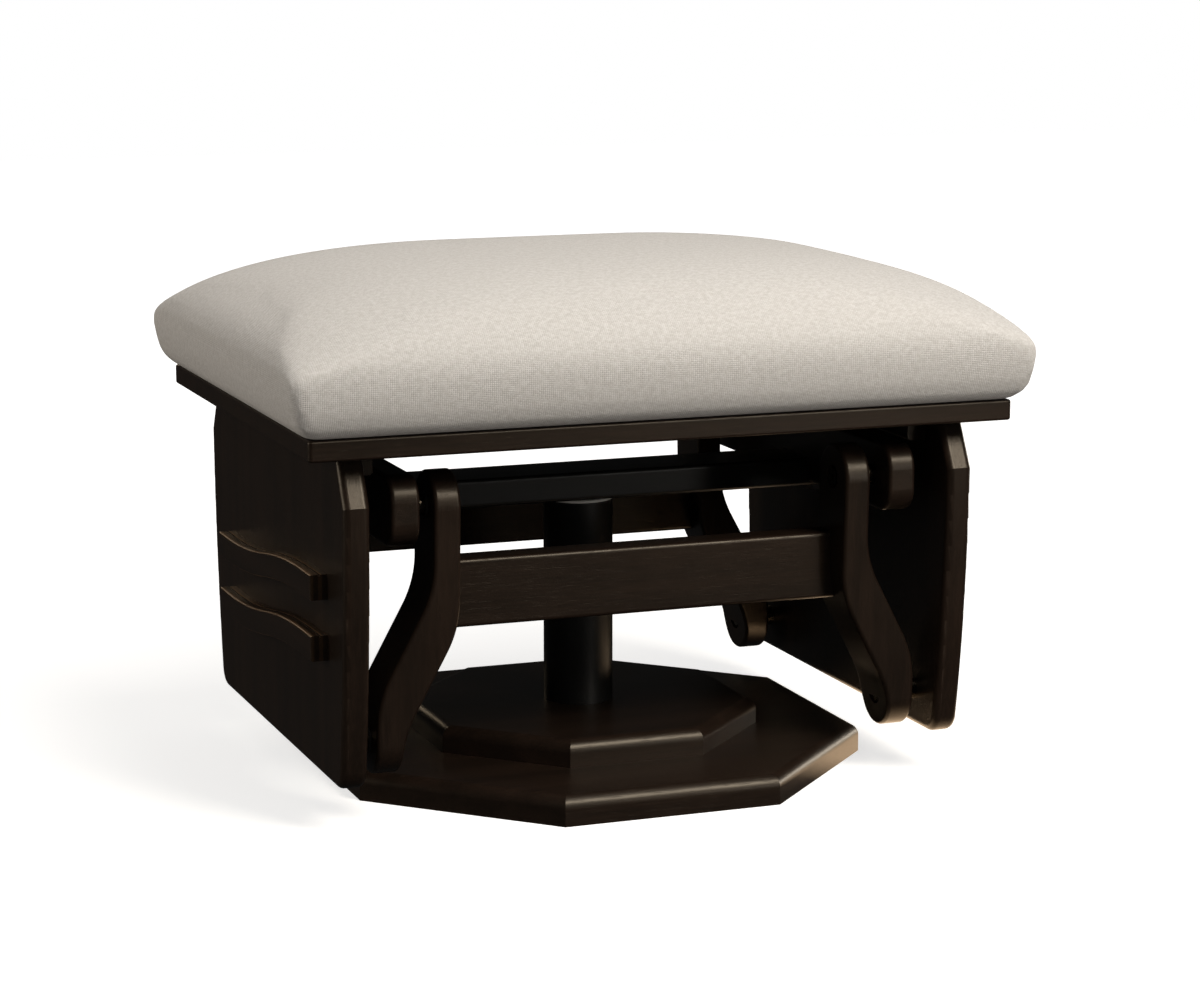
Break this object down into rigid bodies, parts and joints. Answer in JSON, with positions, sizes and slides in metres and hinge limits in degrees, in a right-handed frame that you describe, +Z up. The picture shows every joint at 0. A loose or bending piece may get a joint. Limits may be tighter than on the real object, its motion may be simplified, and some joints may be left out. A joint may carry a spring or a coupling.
{
  "type": "glider ottoman",
  "caption": "Upholstered footstool whose seat glides forward and back on swing arms, carried by a round post on a stepped octagonal wooden base.",
  "frame": {"origin": "centre of the base's underside, on the floor and on the post's axis", "axes": "+X along the seat's width, -Y to the front, +Z up"},
  "size_m": [0.567, 0.431, 0.3964],
  "materials": {
    "espresso_wood": "satin",
    "oatmeal_fabric": "matte",
    "black_steel": "satin",
    "zinc_steel": "satin",
    "bearing_plastic": "matte",
    "insert_brass": "satin",
    "plywood": "matte"
  },
  "bodies": {
    "base": {"base_plate_lower": "espresso_wood", "base_plate_upper": "espresso_wood", "base_screws": "zinc_steel", "foot_flange": "black_steel", "flange_screws": "zinc_steel", "post_tube": "black_steel", "lower_bearing": "bearing_plastic", "upper_bearing": "bearing_plastic", "thrust_washer": "bearing_plastic"},
    "turret": {"spindle": "zinc_steel", "retaining_ring": "zinc_steel", "crossbar": "black_steel", "crossbar_end_caps": "bearing_plastic", "crossbar_bolts": "zinc_steel", "crossbar_inserts": "insert_brass", "rail_left": "espresso_wood", "rail_right": "espresso_wood", "rail_inserts": "insert_brass", "upper_pivot_bolts": "black_steel", "upper_pivot_spacers": "black_steel"},
    "front_swing": {"front_arm_left": "espresso_wood", "front_arm_right": "espresso_wood", "front_stretcher": "espresso_wood", "front_dowels": "espresso_wood", "front_upper_bushes": "bearing_plastic", "front_lower_bushes": "bearing_plastic"},
    "rear_swing": {"rear_arm_left": "espresso_wood", "rear_arm_right": "espresso_wood", "rear_stretcher": "espresso_wood", "rear_dowels": "espresso_wood", "rear_upper_bushes": "bearing_plastic", "rear_lower_bushes": "bearing_plastic"},
    "carriage": {"side_panel_left": "espresso_wood", "side_panel_right": "espresso_wood", "wave_left_upper": "espresso_wood", "wave_left_lower": "espresso_wood", "wave_right_upper": "espresso_wood", "wave_right_lower": "espresso_wood", "wave_pins": "espresso_wood", "seat_board": "espresso_wood", "seat_cleat_left": "espresso_wood", "seat_cleat_right": "espresso_wood", "cleat_screws": "zinc_steel", "seat_screws": "zinc_steel", "cushion": "oatmeal_fabric", "cushion_board": "plywood", "cushion_screws": "zinc_steel", "lower_pivot_bolts": "black_steel", "lower_pivot_spacers": "black_steel", "panel_inserts": "insert_brass"}
  },
  "joints": [
    {"name": "swivel", "type": "hinge", "parent": "base", "child": "turret", "pos_m": [0, 0, 0.2], "axis": [0, 0, 1], "continuous": true},
    {"name": "front_swing", "type": "hinge", "parent": "turret", "child": "front_swing", "pos_m": [0, -0.145, 0.2325], "axis": [1, 0, 0], "range_deg": [-14, 14]},
    {"name": "rear_swing", "type": "hinge", "parent": "turret", "child": "rear_swing", "pos_m": [0, 0.145, 0.2325], "axis": [1, 0, 0], "range_deg": [-14.1, 14.1]},
    {"name": "seat_tilt", "type": "hinge", "parent": "front_swing", "child": "carriage", "pos_m": [0, -0.137, 0.061], "axis": [1, 0, 0], "range_deg": [-14.9, 14.9]}
  ],
  "couplings": [
    {"joint": "rear_swing", "follows": "front_swing", "ratio": 1},
    {"joint": "seat_tilt", "follows": "front_swing", "ratio": -1.058}
  ]
}
